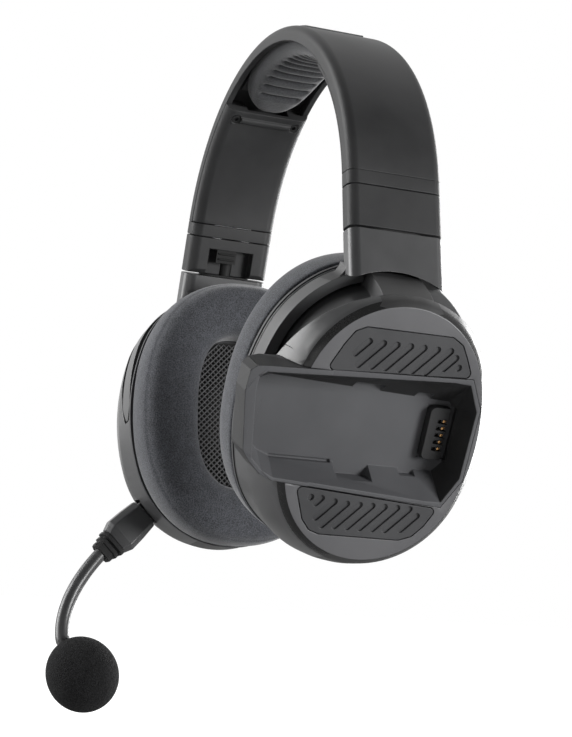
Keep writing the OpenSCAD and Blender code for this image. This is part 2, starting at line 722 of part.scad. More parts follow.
// ---- battery side ----
module pocket() {
  hull() {
    translate([0, 0, bay_floor_w]) linear_extrude(0.01) bay_poly(bay_floor);
    translate([0, 0, face_w + bay_rim + 0.5]) linear_extrude(0.01) bay_poly(bay_mouth);
  }
}
module battery_bay() color(mid)
  cup_frame(1) difference() {
    union() {
      translate([0, 0, bay_back_w]) linear_extrude(face_w - bay_back_w) bay_poly(bay_outline);
      translate([0, 0, face_w - 0.01]) linear_extrude(bay_rim) intersection() {
        bay_poly(bay_outline);
        translate([-60, -30]) square([36, 60]);
      }
    }
    pocket();
    // underside of the tongue
    translate([0, -30, 0]) rotate([90, 0, 0]) mirror([0, 0, 1]) linear_extrude(60)
      polygon([[-60, 0], [-45.8, 0], [-45.8, bay_back_w], [-53.8, face_w - 8.5],
               [-60, face_w - 8.5]]);
    // slot along the foot of the lower wall
    translate([-35.2, -15, bay_floor_w - 0.9]) cube([22.8, 1.1, 2]);
    // sunk seat of the contact block
    translate([block_u - 0.2, -block_h / 2 - 0.4, bay_floor_w - block_sunk])
      cube([11, block_h + 0.4, 2]);
    // notches in the lower wall
    translate([-11.2, -18.6, bay_floor_w]) cube([13.4, 5, 20]);
    translate([13.8, -16.4, bay_floor_w]) cube([6, 2, 20]);
    // key slots in the upper wall
    translate([-10, 11.8, bay_floor_w]) cube([10.6, 3.6, 20]);
    translate([14.1, 10.8, bay_floor_w]) cube([6, 3.2, 20]);
  }

// slots as [u, v, half length]: the short ones follow the panel's corners
slot_half = 5.6;
upper_slots = [[-15.4, 29.8, 3.1], [18.1, 27.7, 2.8], [21.7, 26.5, 0.1]];
lower_slots = [[-18.7, -25.1, 1.3], [-15.6, -28.1, 4.2], [16.8, -30.5, 3.7], [-21.9, -24.1, 0.1]];
module slot(half) {
  rotate([0, 0, slot_lean]) {
    translate([-half, -slot_d / 2]) square([2 * half, slot_d]);
    for (s = [-1, 1]) translate([half * s, 0]) circle(slot_d / 2, $fn = 24);
  }
}
module vent_panel(points, first, pitch, v_mid, short_slots) {
  difference() {
    translate([0, 0, face_w - vent_t]) linear_extrude(vent_t) vent_poly(points);
    translate([0, 0, face_w - slot_depth]) linear_extrude(vent_t) {
      for (i = [0 : 5]) translate([first + pitch * i, v_mid]) slot(slot_half);
      for (q = short_slots) translate([q[0], q[1]]) slot(q[2]);
    }
  }
}
module vent_panel_upper() color(mid)
  cup_frame(1) vent_panel(upper_vent, -11.8, 5.1, 27.8, upper_slots);
module vent_panel_lower() color(mid)
  cup_frame(1) vent_panel(lower_vent, -11.8, 4.8, -29.6, lower_slots);

block_u = 20.2;
block_w_u = 7.6;
block_t = 3;
block_sunk = 0.6;
block_corner = 2;
block_h = contact_pitch * (contact_count - 1) + 9;
module contact_block() color(black)
  cup_frame(1) difference() {
    translate([block_u, -0.2, bay_floor_w - block_sunk]) linear_extrude(block_t + block_sunk) {
      translate([block_corner, -block_h / 2]) square([block_w_u - block_corner, block_h]);
      translate([0, block_corner - block_h / 2]) square([block_w_u, block_h - 2 * block_corner]);
      for (s = [-1, 1]) translate([block_corner, s * (block_h / 2 - block_corner)])
        circle(block_corner);
    }
    for (i = [0 : contact_count - 1])
      translate([block_u + 3.4, contact_y(i) - 0.7, bay_floor_w + 0.8])
        cube([block_w_u, 1.4, block_t]);
  }
function contact_y(i) = -0.7 + contact_pitch * (i - (contact_count - 1) / 2);
module battery_contacts() color(gold)
  cup_frame(1) for (i = [0 : contact_count - 1])
    translate([block_u + 3.8, contact_y(i) - 0.4, bay_floor_w + 0.8]) {
      cube([block_w_u - 3.8, 0.8, 0.3]);
      translate([2.4, 0.8, 0]) rotate([90, 0, 0]) intersection() {
        translate([0, 0.3, 0]) cylinder(d = 2.4, h = 0.8);
        translate([-2, 0.1, -1]) cube([4, 4, 3]);
      }
    }

module main_board() color(board_green)
  cup_frame(1) difference() {
    translate([-22.5, -35, cavity_top_w - board_t]) cube([45, 11, board_t]);
    for (q = main_posts) translate([q[0], q[1], 8]) cylinder(d = post_hole_d, h = 4);
  }

// ---- microphone side ----
// boom frame: origin where the plug block meets the cup, x down the boom
module boom_frame() {
  translate([boom_u, boom_v, boom_w]) rotate([0, 0, -boom_down]) children();
}
module button_frame(q) {
  translate([q[0], q[1], button_w]) rotate([0, 0, q[3]]) translate([q[2], 0, 0])
    rotate([0, 90, 0]) children();
}

module boom_socket() color(black)
  cup_frame(-1) boom_frame() translate([-boom_block_l, 0, 0]) difference() {
    translate([0, -plug_w / 2 - socket_wall, -plug_t / 2 - socket_wall])
      cube([boom_block_l - 3.4, plug_w + 2 * socket_wall, plug_t + 2 * socket_wall]);
    translate([boom_block_l - plug_l - 4, -plug_w / 2 - 0.15, -plug_t / 2 - 0.15])
      cube([boom_block_l, plug_w + 0.3, plug_t + 0.3]);
  }

module control_board() color(board_green)
  cup_frame(-1) difference() {
    translate([-20, 4, right_top_w - board_t]) cube([40, 24, board_t]);
    for (q = control_posts) translate([q[0], q[1], right_top_w - 3]) cylinder(d = post_hole_d, h = 4);
  }

module button_switches() color(steel)
  cup_frame(-1) for (q = button_spots) button_frame(q) translate([0, 0, -button_depth])
    cylinder(d = 4, h = 0.6);

module button(i) color(mid)
  cup_frame(-1) button_frame(button_spots[i])
    translate([0, 0, -button_depth + 0.6 + button_travel + 0.2]) difference() {
      cylinder(d = button_d, h = button_depth - 0.8 - button_travel + button_proud);
      translate([0, 0, button_depth - 0.8 - button_travel + button_proud + 9.6])
        sphere(r = 10);
    }

module boom_plug() color(black)
  cup_frame(-1) boom_frame() translate([-plug_l - 3, -plug_w / 2, -plug_t / 2])
    cube([plug_l + 3, plug_w, plug_t]);

// block with its long edges chamfered, narrower at the cup
module boom_body() color(dark)
  cup_frame(-1) boom_frame() difference() {
    hull() {
      block_slice(1, boom_block_w - 1.4, boom_block_t - 0.6);
      block_slice(boom_block_l * 0.45, boom_block_w, boom_block_t);
      block_slice(boom_block_l * 0.8, boom_block_w + 0.6, boom_block_t);
      block_slice(boom_block_l, boom_block_w - 2, boom_block_t - 1);
    }
    translate([boom_block_l - 4, 0, 0]) rotate([0, 90, 0]) cylinder(d = tube_d + 0.4, h = 10);
  }
module block_slice(x, w, t) {
  translate([x - 0.2, 0, 0]) rotate([90, 0, 90]) linear_extrude(0.2) chamfered(w, t, 2.2);
}

// rectangle with equal chamfers, for sections across the boom
module chamfered(w, t, c) {
  polygon([[-w / 2 + c, -t / 2], [w / 2 - c, -t / 2], [w / 2, -t / 2 + c], [w / 2, t / 2 - c],
           [w / 2 - c, t / 2], [-w / 2 + c, t / 2], [-w / 2, t / 2 - c], [-w / 2, -t / 2 + c]]);
}

relief_l = 7.5;
relief_w = 11.6;
relief_t = 8;
relief_taper = 1.2;
rib_t = 1.7;
rib_pitch = 2.5;
rib_h = 0.8;
module strain_relief() color(black)
  cup_frame(-1) boom_frame() translate([boom_block_l, 0, 0]) rotate([90, 0, 90]) difference() {
    union() {
      linear_extrude(relief_l) chamfered(relief_w - 3, relief_t - 1.6, 1.4);
      for (i = [0 : 2]) translate([0, 0, i * rib_pitch + 0.3]) linear_extrude(rib_t)
        chamfered(relief_w - i * relief_taper, relief_t + rib_h - i * relief_taper, 1.8);
    }
    translate([0, 0, -1]) cylinder(d = tube_d + 0.1, h = relief_l + 2);
  }

// tube: out of the block in its direction, then one curve down to the windscreen
boom_dir = [cos(boom_down), -sin(boom_down), 0];
boom_root = [boom_u, boom_v, boom_w];
c0 = boom_root + (boom_block_l + relief_l) * boom_dir;
c3 = c0 + [-15, -34.8, -3.2];
c1 = c0 + 14 * unit([-0.66, -0.75, 0]);
c2 = c3 + 12 * unit([-0.1, 0.96, 0.25]);
end_dir = unit([0.44, -0.83, -0.33]);
tube_in = 11.4;
function unit(v) = v / norm(v);
function bezier(a, b, c, d, t) = a * pow(1 - t, 3) + b * 3 * t * pow(1 - t, 2)
  + c * 3 * t * t * (1 - t) + d * pow(t, 3);
tube_route = concat([boom_root + (boom_block_l - 3) * boom_dir],
                    [for (i = [0 : 20]) bezier(c0, c1, c2, c3, i / 20)],
                    [c3 + end_dir * 4, c3 + end_dir * tube_in]);
function tangent(i) = let (n = len(tube_route))
  unit(tube_route[min(i + 1, n - 1)] - tube_route[max(i - 1, 0)]);
function tube_ring(i) = let (t = tangent(i), s = unit(cross(t, [0, 0.2, 1])), r = cross(s, t))
  [for (k = [0 : 11]) tube_route[i] + tube_d / 2 * (s * cos(30 * k) + r * sin(30 * k))];
module boom_tube() color(black)
  cup_frame(-1) ring_skin([for (i = [0 : len(tube_route) - 1]) tube_ring(i)]);

// turns z on to the end of the tube
module tube_end_frame() {
  d = end_dir;
  translate(c3 + d * tube_in) rotate([0, acos(d[2]), atan2(d[1], d[0])]) children();
}
module mic_capsule() color(steel)
  cup_frame(-1) tube_end_frame() difference() {
    cylinder(d = 8, h = 6);
    translate([0, 0, 5.4]) cylinder(d = 2, h = 2);
  }

module windscreen() color(black)
  cup_frame(-1) tube_end_frame() difference() {
    translate([0, 0, 4.5]) rotate_extrude($fn = 64) intersection() {
      union() {
        for (s = [-1, 1]) translate([0, s]) circle(foam_d / 2);
        translate([0, -1]) square([foam_d / 2, 2]);
      }
      translate([0, -foam_d]) square([foam_d, 2 * foam_d]);
    }
    translate([0, 0, -30]) cylinder(d = tube_d + 0.6, h = 31);
    translate([0, 0, -0.3]) cylinder(d = 8.6, h = 6.6);
  }

band_shell();
crown_plate();
inner_cover(1);  // inner_cover_left
inner_cover(-1);  // inner_cover_right
cover_screws();
pad_base();
crown_pad();
slider_block(1);  // slider_block_left
slider_rail(1);  // slider_rail_left
cable_clip(1);  // cable_clip_left
slider_block(-1);  // slider_block_right
slider_rail(-1);  // slider_rail_right
cable_clip(-1);  // cable_clip_right
yoke(1);  // yoke_left
swivel_post(1);  // swivel_post_left
post_clip(1);  // post_clip_left
hinge_pins(1);  // hinge_pins_left
yoke(-1);  // yoke_right
swivel_post(-1);  // swivel_post_right
post_clip(-1);  // post_clip_right
hinge_pins(-1);  // hinge_pins_right
cup_shell_left();
baffle(1);  // baffle_left
ear_cushion(1);  // ear_cushion_left
ear_mesh(1);  // ear_mesh_left
driver(1);  // driver_left
battery_bay();
vent_panel_upper();
vent_panel_lower();
contact_block();
battery_contacts();
main_board();
cup_shell_right();
face_cap_right();
baffle(-1);  // baffle_right
ear_cushion(-1);  // ear_cushion_right
ear_mesh(-1);  // ear_mesh_right
driver(-1);  // driver_right
boom_socket();
control_board();
button_switches();
button(0);  // power_button
button(1);  // volume_up_button
button(2);  // volume_down_button
boom_plug();
boom_body();
strain_relief();
boom_tube();
mic_capsule();
windscreen();
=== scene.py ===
"""Over-ear wireless headset with a plug-in boom microphone and an open battery bay.

The frame is the part's own: +Z up along the wearer's head, -Y the way the wearer looks, +X
the wearer's left. Blender's lengths are metres; sizes written in millimetres are turned
into them by MM. Sections follow the order of assembly.
"""

import json
import math

import bmesh
import bpy
from mathutils import Matrix, Vector


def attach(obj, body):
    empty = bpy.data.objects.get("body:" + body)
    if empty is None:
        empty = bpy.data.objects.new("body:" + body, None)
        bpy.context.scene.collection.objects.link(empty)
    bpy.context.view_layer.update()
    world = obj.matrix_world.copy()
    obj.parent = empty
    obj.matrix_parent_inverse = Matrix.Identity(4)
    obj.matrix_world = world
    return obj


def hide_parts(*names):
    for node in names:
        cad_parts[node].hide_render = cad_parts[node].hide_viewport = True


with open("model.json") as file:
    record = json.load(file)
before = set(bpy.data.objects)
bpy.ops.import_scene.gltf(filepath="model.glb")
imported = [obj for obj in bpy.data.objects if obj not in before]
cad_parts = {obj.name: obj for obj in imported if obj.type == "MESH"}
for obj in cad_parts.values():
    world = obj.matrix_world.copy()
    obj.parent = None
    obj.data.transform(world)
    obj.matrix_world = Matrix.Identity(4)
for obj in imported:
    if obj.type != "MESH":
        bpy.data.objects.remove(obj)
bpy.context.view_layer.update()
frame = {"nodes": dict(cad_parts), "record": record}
MM = 0.001

# ---- camera ----------------------------------------------------------------------------
# A long lens in front of the left cup and a little below it, rolled a few degrees.
camera_target = Vector((-4.94, 0, 16.5)) * MM
camera_distance = 758.2 * MM
camera_azimuth = math.radians(66.84)
camera_elevation = math.radians(-4.73)
camera_roll = math.radians(4.37)
camera_lens = 96.8

toward_camera = Vector((
    math.sin(camera_azimuth) * math.cos(camera_elevation),
    -math.cos(camera_azimuth) * math.cos(camera_elevation),
    math.sin(camera_elevation),
))
level_right = Vector((math.cos(camera_azimuth), math.sin(camera_azimuth), 0))
level_up = toward_camera.cross(level_right)
view_right = level_right * math.cos(camera_roll) + level_up * math.sin(camera_roll)
view_up = level_up * math.cos(camera_roll) - level_right * math.sin(camera_roll)
camera = bpy.data.objects.new("camera", bpy.data.cameras.new("camera"))
camera.data.lens = camera_lens
camera.data.sensor_width = 36
camera.matrix_world = Matrix.Translation(camera_target + toward_camera * camera_distance) @ Matrix(
    (view_right, view_up, toward_camera)).transposed().to_4x4()
bpy.context.collection.objects.link(camera)
bpy.context.scene.camera = camera

# ---- moulded plastic -------------------------------------------------------------------
# The headband, sliders, yokes and cups are injection mouldings in charcoal ABS with a
# fine spark-eroded grain. Their edges are eased by the tool's radius.


def socket(tree, name, kind, value=None, way="INPUT"):
    made = tree.interface.new_socket(name=name, in_out=way, socket_type="NodeSocket" + kind)
    if value is not None:
        made.default_value = value


def wire(tree, kind, **inputs):
    """A node of that kind; a keyword sets an input's value or links another node's output."""
    node = tree.nodes.new(kind)
    for key, value in inputs.items():
        place = int(key[1:]) if key[0] == "i" and key[1:].isdigit() else key.replace("_", " ")
        if isinstance(value, bpy.types.NodeSocket):
            tree.links.new(value, node.inputs[place])
        else:
            node.inputs[place].default_value = value
    return node


def maths(tree, operation, a, b=0.5):
    node = wire(tree, "ShaderNodeMath", i0=a, i1=b)
    node.operation = operation
    return node.outputs[0]


def swung(tree, noise, swing):
    """Noise from 0 to 1 as a swing to both sides of zero."""
    node = wire(tree, "ShaderNodeMath", i0=noise, i1=swing, i2=-swing / 2)
    node.operation = "MULTIPLY_ADD"
    return node.outputs[0]


def mix_colour(tree, share, a, b):
    node = tree.nodes.new("ShaderNodeMix")
    node.data_type = "RGBA"
    for place, value in ((0, share), (6, a), (7, b)):
        if isinstance(value, bpy.types.NodeSocket):
            tree.links.new(value, node.inputs[place])
        else:
            node.inputs[place].default_value = value
    return node.outputs[2]


def moulded_grain_group():
    """Fine eroded grain with faint flow clouds: colour, roughness and height."""
    cloud_scale, cloud_swing, speck_swing = 45.0, 0.16, 0.1
    dark_share, pale_share = 0.16, 0.03
    tree = bpy.data.node_groups.new("moulded_grain", "ShaderNodeTree")
    socket(tree, "Place", "Vector")
    socket(tree, "Colour", "Color", (0.05, 0.05, 0.05, 1))
    socket(tree, "Roughness", "Float", 0.4)
    socket(tree, "Grain", "Float", 2600.0)
    socket(tree, "Colour", "Color", way="OUTPUT")
    socket(tree, "Roughness", "Float", way="OUTPUT")
    socket(tree, "Height", "Float", way="OUTPUT")
    given = tree.nodes.new("NodeGroupInput").outputs
    out = tree.nodes.new("NodeGroupOutput")
    grain = wire(tree, "ShaderNodeTexNoise", Vector=given["Place"], Scale=given["Grain"],
                 Detail=3.0)
    clouds = wire(tree, "ShaderNodeTexNoise", Vector=given["Place"], Scale=cloud_scale, Detail=4.0)
    darker = mix_colour(tree, dark_share, given["Colour"], (0, 0, 0, 1))
    paler = mix_colour(tree, pale_share, given["Colour"], (1, 1, 1, 1))
    tree.links.new(mix_colour(tree, clouds.outputs[0], darker, paler), out.inputs["Colour"])
    rough = maths(tree, "ADD", swung(tree, clouds.outputs[0], cloud_swing), given["Roughness"])
    speck = swung(tree, grain.outputs[0], speck_swing)
    tree.links.new(maths(tree, "ADD", rough, speck), out.inputs["Roughness"])
    tree.links.new(grain.outputs[0], out.inputs["Height"])
    return tree


MOULDED_GRAIN = moulded_grain_group()


def grained(name, colour, roughness, group=MOULDED_GRAIN, relief=0.02, depth=0.00006,
            group_inputs=None, **shader):
    """A material whose colour, roughness and relief come from a surface group."""
    material = bpy.data.materials.new(name)
    material.use_nodes = True
    tree = material.node_tree
    surface = tree.nodes["Principled BSDF"]
    place = tree.nodes.new("ShaderNodeTexCoord").outputs["Object"]
    node = tree.nodes.new("ShaderNodeGroup")
    node.node_tree = group
    tree.links.new(place, node.inputs["Place"])
    node.inputs["Colour"].default_value = (*colour, 1)
    node.inputs["Roughness"].default_value = roughness
    for key, value in (group_inputs or {}).items():
        node.inputs[key].default_value = value
    tree.links.new(node.outputs["Colour"], surface.inputs["Base Color"])
    tree.links.new(node.outputs["Roughness"], surface.inputs["Roughness"])
    bump = wire(tree, "ShaderNodeBump", Strength=relief, Distance=depth,
                Height=node.outputs["Height"])
    tree.links.new(bump.outputs[0], surface.inputs["Normal"])
    for key, value in shader.items():
        surface.inputs[key.replace("_", " ")].default_value = value
    return material


def dress(piece, material):
    piece.data.materials.clear()
    piece.data.materials.append(material)


weld_distance = 0.002 * MM
sharp_edge = math.radians(28)


def eased(node, body, radius, reshape=None, flat=False):
    """A copy of a moulding with its sharp edges rounded to the tool's radius.

    Shading follows the largest faces, or with flat only the rounded edges are smooth."""
    shape = bmesh.new()
    shape.from_mesh(frame["nodes"][node].data)
    bmesh.ops.remove_doubles(shape, verts=shape.verts[:], dist=weld_distance)
    if reshape:
        reshape(shape)
    for face in shape.faces:
        face.smooth = True
    mesh = bpy.data.meshes.new(node + "_eased")
    shape.to_mesh(mesh)
    shape.free()
    piece = bpy.data.objects.new(node + "_eased", mesh)
    bpy.context.collection.objects.link(piece)
    rounding = piece.modifiers.new("edges", "BEVEL")
    rounding.width = radius
    rounding.segments = 2
    rounding.limit_method = "ANGLE"
    rounding.angle_limit = sharp_edge
    rounding.use_clamp_overlap = False
    rounding.loop_slide = False
    if flat:
        mesh.materials.append(None)
        mesh.materials.append(None)
        rounding.material = 1
    else:
        shading = piece.modifiers.new("shading", "WEIGHTED_NORMAL")
        shading.mode = "FACE_AREA"
        shading.weight = 100
        shading.thresh = 0.1
    settle(piece)
    for face in piece.data.polygons:
        face.use_smooth = not flat or face.material_index == 1
        face.material_index = 0
    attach(piece, body)
    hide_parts(node)
    return piece


def settle(piece):
    """Turns a piece's modifiers into its plain mesh."""
    bpy.context.view_layer.update()
    graph = bpy.context.evaluated_depsgraph_get()
    piece.data = bpy.data.meshes.new_from_object(piece.evaluated_get(graph))
    piece.modifiers.clear()


charcoal = grained("charcoal_plastic", (0.036, 0.0365, 0.038), 0.36)
band_black = grained("band_plastic", (0.016, 0.0162, 0.017), 0.5, Specular_IOR_Level=0.2)


def finish_node(node, material):
    """Gives a CAD node that keeps its own shape a better material."""
    frame["nodes"][node].material_slots[0].material = material


def moulding(node, radius, material, slot_name, **how):
    """An eased copy of a moulding, riding where its node rides."""
    body = next(b for b, nodes in frame["record"]["behaviour"]["bodies"].items() if node in nodes)
    piece = eased(node, body, radius, **how)
    dress(piece, material)
    return piece


# ---- headband --------------------------------------------------------------------------
# A sprung shell in one piece with two inner covers screwed over its legs and a thin grey
# plate let in on top. The screws are black steel with a hexagon socket.
for node in ("band_shell", "inner_cover_left", "inner_cover_right"):
    moulding(node, 0.3 * MM, band_black, "shell")

panel_grey = grained("panel_plastic", (0.033, 0.0335, 0.036), 0.55, Specular_IOR_Level=0.35)
moulding("crown_plate", 0.15 * MM, panel_grey, "panel")

black_oxide = grained("black_oxide_steel", (0.02, 0.02, 0.021), 0.34, relief=0.01,
                      group_inputs={"Grain": 5200.0}, Metallic=0.6)
finish_node("cover_screws", black_oxide)

black_plastic = grained("black_plastic", (0.012, 0.012, 0.0125), 0.48)
finish_node("pad_base", black_plastic)

# ---- crown pad -------------------------------------------------------------------------
# A foam pad in heathered knitted cloth under the crown, with channels sewn across it and a
# smooth puffed border, held to the shell by its stiff base.


def knit_group():
    """Heathered knit: rows of small loops in two shades of yarn."""
    light_yarn, dark_share, patch_scale, patch_share = 1.9, 0.62, 260.0, 0.22
    tree = bpy.data.node_groups.new("heathered_knit", "ShaderNodeTree")
    socket(tree, "Place", "Vector")
    socket(tree, "Colour", "Color", (0.05, 0.05, 0.05, 1))
    socket(tree, "Roughness", "Float", 0.9)
    socket(tree, "Loops", "Float", 1500.0)
    socket(tree, "Fleck", "Float", 0.5)
    socket(tree, "Colour", "Color", way="OUTPUT")
    socket(tree, "Roughness", "Float", way="OUTPUT")
    socket(tree, "Height", "Float", way="OUTPUT")
    given = tree.nodes.new("NodeGroupInput").outputs
    out = tree.nodes.new("NodeGroupOutput")
    loops = wire(tree, "ShaderNodeTexVoronoi", Vector=given["Place"], Scale=given["Loops"])
    yarn = wire(tree, "ShaderNodeTexNoise", Vector=given["Place"], Scale=given["Loops"],
                Detail=2.0)
    wide = wire(tree, "ShaderNodeTexNoise", Vector=given["Place"], Scale=patch_scale, Detail=3.0)
    light = wire(tree, "ShaderNodeVectorMath", i0=given["Colour"], i1=(light_yarn,) * 3)
    light.operation = "MULTIPLY"
    dark = mix_colour(tree, dark_share, given["Colour"], (0, 0, 0, 1))
    sharp = wire(tree, "ShaderNodeMapRange", Value=yarn.outputs[0], From_Min=0.36, From_Max=0.64)
    shade = mix_colour(tree, sharp.outputs[0], dark, light.outputs[0])
    mixed = mix_colour(tree, given["Fleck"], given["Colour"], shade)
    patch = wire(tree, "ShaderNodeMapRange", Value=wide.outputs[0], From_Min=0.3, From_Max=0.7,
                 To_Min=0.0, To_Max=patch_share)
    tree.links.new(mix_colour(tree, patch.outputs[0], mixed, (0, 0, 0, 1)), out.inputs["Colour"])
    swing = maths(tree, "MULTIPLY", yarn.outputs[0], 0.1)
    tree.links.new(maths(tree, "ADD", swing, given["Roughness"]), out.inputs["Roughness"])
    valley = maths(tree, "SUBTRACT", 1.0, loops.outputs["Distance"])
    tree.links.new(maths(tree, "ADD", valley, yarn.outputs[0]), out.inputs["Height"])
    return tree


HEATHERED_KNIT = knit_group()
pad_cloth = grained("crown_pad_knit", (0.031, 0.032, 0.035), 0.88, HEATHERED_KNIT, relief=0.55,
                    depth=0.0002, group_inputs={"Loops": 2100.0, "Fleck": 0.6},
                    Sheen_Weight=0.25, Sheen_Roughness=0.5)

shoulder_radius = 83.5
crown_radius = 76
shoulder_centre = (-2.1, 62.1)
crown_centre_z = 69.3
crown_angle = 16.26
pad_angle = 37.1
pad_half_width = 14.5
pad_back_depth = 3.42
pad_thickness = 7.5
pad_columns, pad_half_rows = 48, 150
back_gap = 0.3
channel_pitch = 4.65
channels_each_side = 6
channel_depth = 2.3
channel_end = 3.1
border = 3.6


def under_band(angle, y, depth):
    """A point under the band: angle from the top in degrees, positive to the left."""
    a = math.radians(abs(angle))
    if abs(angle) <= crown_angle:
        x = (crown_radius - depth) * math.sin(a)
        z = crown_centre_z + (crown_radius - depth) * math.cos(a)
    else:
        x = shoulder_centre[0] + (shoulder_radius - depth) * math.sin(a)
        z = shoulder_centre[1] + (shoulder_radius - depth) * math.cos(a)
    return Vector((math.copysign(x, angle), y, z)) * MM


def loft(name, rings, closed_path=False):
    """A skin over rings of equal point count, each ring closed on itself."""
    shape = bmesh.new()
    rows = [[shape.verts.new(point) for point in ring] for ring in rings]
    for row, after in zip(rows, rows[1:] + (rows[:1] if closed_path else [])):
        for k in range(len(row)):
            n = (k + 1) % len(row)
            shape.faces.new((row[k], row[n], after[n], after[k]))
    if not closed_path:
        shape.faces.new(rows[0][::-1])
        shape.faces.new(rows[-1])
    return finished(name, shape)


def finished(name, shape):
    """Turns a bmesh into a linked piece with its faces outwards."""
    bmesh.ops.recalc_face_normals(shape, faces=shape.faces[:])
    for face in shape.faces:
        face.smooth = True
    mesh = bpy.data.meshes.new(name)
    shape.to_mesh(mesh)
    shape.free()
    piece = bpy.data.objects.new(name, mesh)
    bpy.context.collection.objects.link(piece)
    return piece


def pad_half(angle):
    return pad_half_width * max(0.0, 1 - (abs(angle) / pad_angle) ** 5) ** (1 / 2.2)


def channel(angle, y, half):
    """How far a sewn channel draws the cloth in: a valley with rounded ends."""
    near = round(angle / channel_pitch)
    if abs(near) > channels_each_side:
        return 0.0
    along = (angle - near * channel_pitch) / channel_pitch
    past = max(0.0, abs(y) - (pad_half(near * channel_pitch) - border - 2)) / channel_end
    away = math.hypot(2 * along, past)
    return channel_depth * max(0.0, 1 - away) ** 2.4 * min(1.0, half / 8)


def pad_ring(angle):
    """The pad's outline across the band: puffed below, flat where it meets its base."""
    half = max(pad_half(angle), 0.5)
    full = min(1.0, half / pad_half_width) ** 0.5
    ring = []
    for k in range(pad_columns + 1):
        t = -1 + 2 * k / pad_columns
        y = half * math.copysign(abs(math.sin(t * math.pi / 2)) ** 0.9, t)
        edge = abs(y) / half
        puff = (1 - edge ** 5) ** 0.5
        crown = 1 + 0.05 * (1 - edge ** 2)
        depth = pad_back_depth + back_gap + pad_thickness * full * puff * crown
        depth -= channel(angle, y, half) * min(1, puff * 1.4)
        ring.append(under_band(angle, y, depth))
    return ring + [under_band(angle, end * half * 0.99, pad_back_depth) for end in (1, -1)]


crown_pad = loft("crown_pad_sewn", [
    pad_ring(pad_angle * math.sin(math.pi / 2 * i / pad_half_rows))
    for i in range(-pad_half_rows, pad_half_rows + 1)])
dress(crown_pad, pad_cloth)
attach(crown_pad, "headband")
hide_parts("crown_pad")

# ---- sliders ---------------------------------------------------------------------------
# A moulded block at each end of the band on a flat steel rail, with the cable's clip and
# the turned swivel post in the window on its inner side.
for side in ("left", "right"):
    moulding("slider_block_" + side, 0.3 * MM, band_black, "shell")

steel = grained("turned_steel", (0.42, 0.42, 0.43), 0.3, relief=0.01,
                group_inputs={"Grain": 3800.0}, Metallic=1.0)
# Near-black plastic: the glide pads' own black, and on the clip and swivel post also a painted
# shade of the window they sit in.
black_and_window_shade = grained("clip_plastic", (0.004, 0.004, 0.004), 0.55, Specular_IOR_Level=0.12)
for side in ("left", "right"):
    finish_node("cable_clip_" + side, black_and_window_shade)
    finish_node("swivel_post_" + side, black_and_window_shade)
    finish_node("post_clip_" + side, black_oxide)
    finish_node("slider_rail_" + side, steel)

# A thin black glide pad under each block takes the wear of the swivel.
leg_splay = math.radians(12.5)
swivel_place = (79.04, 58.78)
pad_reach = (10.5, 4.2)
pad_bottom, pad_top, pad_bore = -0.25, 0.35, 2.6
pad_sides = 48


def in_leg(side, x, y, z):
    """A point by the swivel: x outwards, y backwards and z up the leg, in millimetres."""
    return Vector((side * (swivel_place[0] + x * math.cos(leg_splay) - z * math.sin(leg_splay)), y,
                   swivel_place[1] + x * math.sin(leg_splay) + z * math.cos(leg_splay))) * MM


for side, name in ((1, "left"), (-1, "right")):
    rings = []
    for k in range(pad_sides):
        turn = 2 * math.pi * k / pad_sides
        c, s = math.cos(turn), math.sin(turn)
        reach = (abs(s / pad_reach[0]) ** 4 + abs(c / pad_reach[1]) ** 4) ** -0.25
        corners = ((reach, pad_bottom), (reach, pad_top), (pad_bore, pad_top),
                   (pad_bore, pad_bottom))
        rings.append([in_leg(side, r * c, r * s, z) for r, z in corners])
    glide_pad = loft("glide_pad_" + name, rings, closed_path=True)
    for face in glide_pad.data.polygons:
        face.use_smooth = False
    dress(glide_pad, black_and_window_shade)
    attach(glide_pad, "slider_" + name)

# ---- yokes -----------------------------------------------------------------------------
# A half ring that turns on the swivel post and holds the cup between two steel pins. Its
# upper faces in the corners beside the foot are painted black as painted shade of the crease.
shade_corner_start, shade_corner_end, shade_corner_z = 18.05 * MM, 23.5 * MM, 38 * MM
for side in ("left", "right"):
    yoke = moulding("yoke_" + side, 0.2 * MM, charcoal, "shell")
    # Painted shade: the upward faces in the corners beside the foot get black plastic.
    yoke.data.materials.append(black_plastic)
    for face in yoke.data.polygons:
        shaded_corner = shade_corner_start < abs(face.center.y) < shade_corner_end
        if shaded_corner and face.center.z > shade_corner_z and face.normal.z > 0.1:
            face.material_index = 1
    finish_node("hinge_pins_" + side, steel)

# ---- cups ------------------------------------------------------------------------------
# Deep mouldings closed on the head's side by a baffle that carries the speaker. A dark
# satin bevel runs round each outer face. The outer face is painted paler as painted light,
# and the top of the neck is painted black as painted shade.
hinge_x = 62.68
tilt_left, tilt_right = 20, 7.5
cup_drop, cup_forward = 2, 1


def in_cup(side, u, v, w):
    """A point of a cup: u backwards, v upwards and w outwards, in millimetres."""
    tilt = math.radians(tilt_left if side > 0 else tilt_right)
    v -= cup_drop
    x = hinge_x + w * math.cos(tilt) + v * math.sin(tilt)
    return Vector((side * x, u - cup_forward, v * math.cos(tilt) - w * math.sin(tilt))) * MM


satin_black = grained("satin_black_bevel", (0.003, 0.003, 0.0032), 0.26, relief=0.004,
                      Specular_IOR_Level=0.3)
# A paler grey for each cup's outer face: painted light for the light the face catches.
painted_light_face_grey = grained("cup_face_plastic", (0.085, 0.085, 0.09), 0.42)
face_w = 26
chamfer_w = 2.3
shaded_neck_half_width, shaded_neck_radius = 11, 49


def cup_place(side, point):
    """The u, v and w of a point, the way in_cup takes them."""
    origin = in_cup(side, 0, 0, 0)
    return [(point - origin).dot(in_cup(side, *axis) - origin) / MM ** 2
            for axis in ((1, 0, 0), (0, 1, 0), (0, 0, 1))]


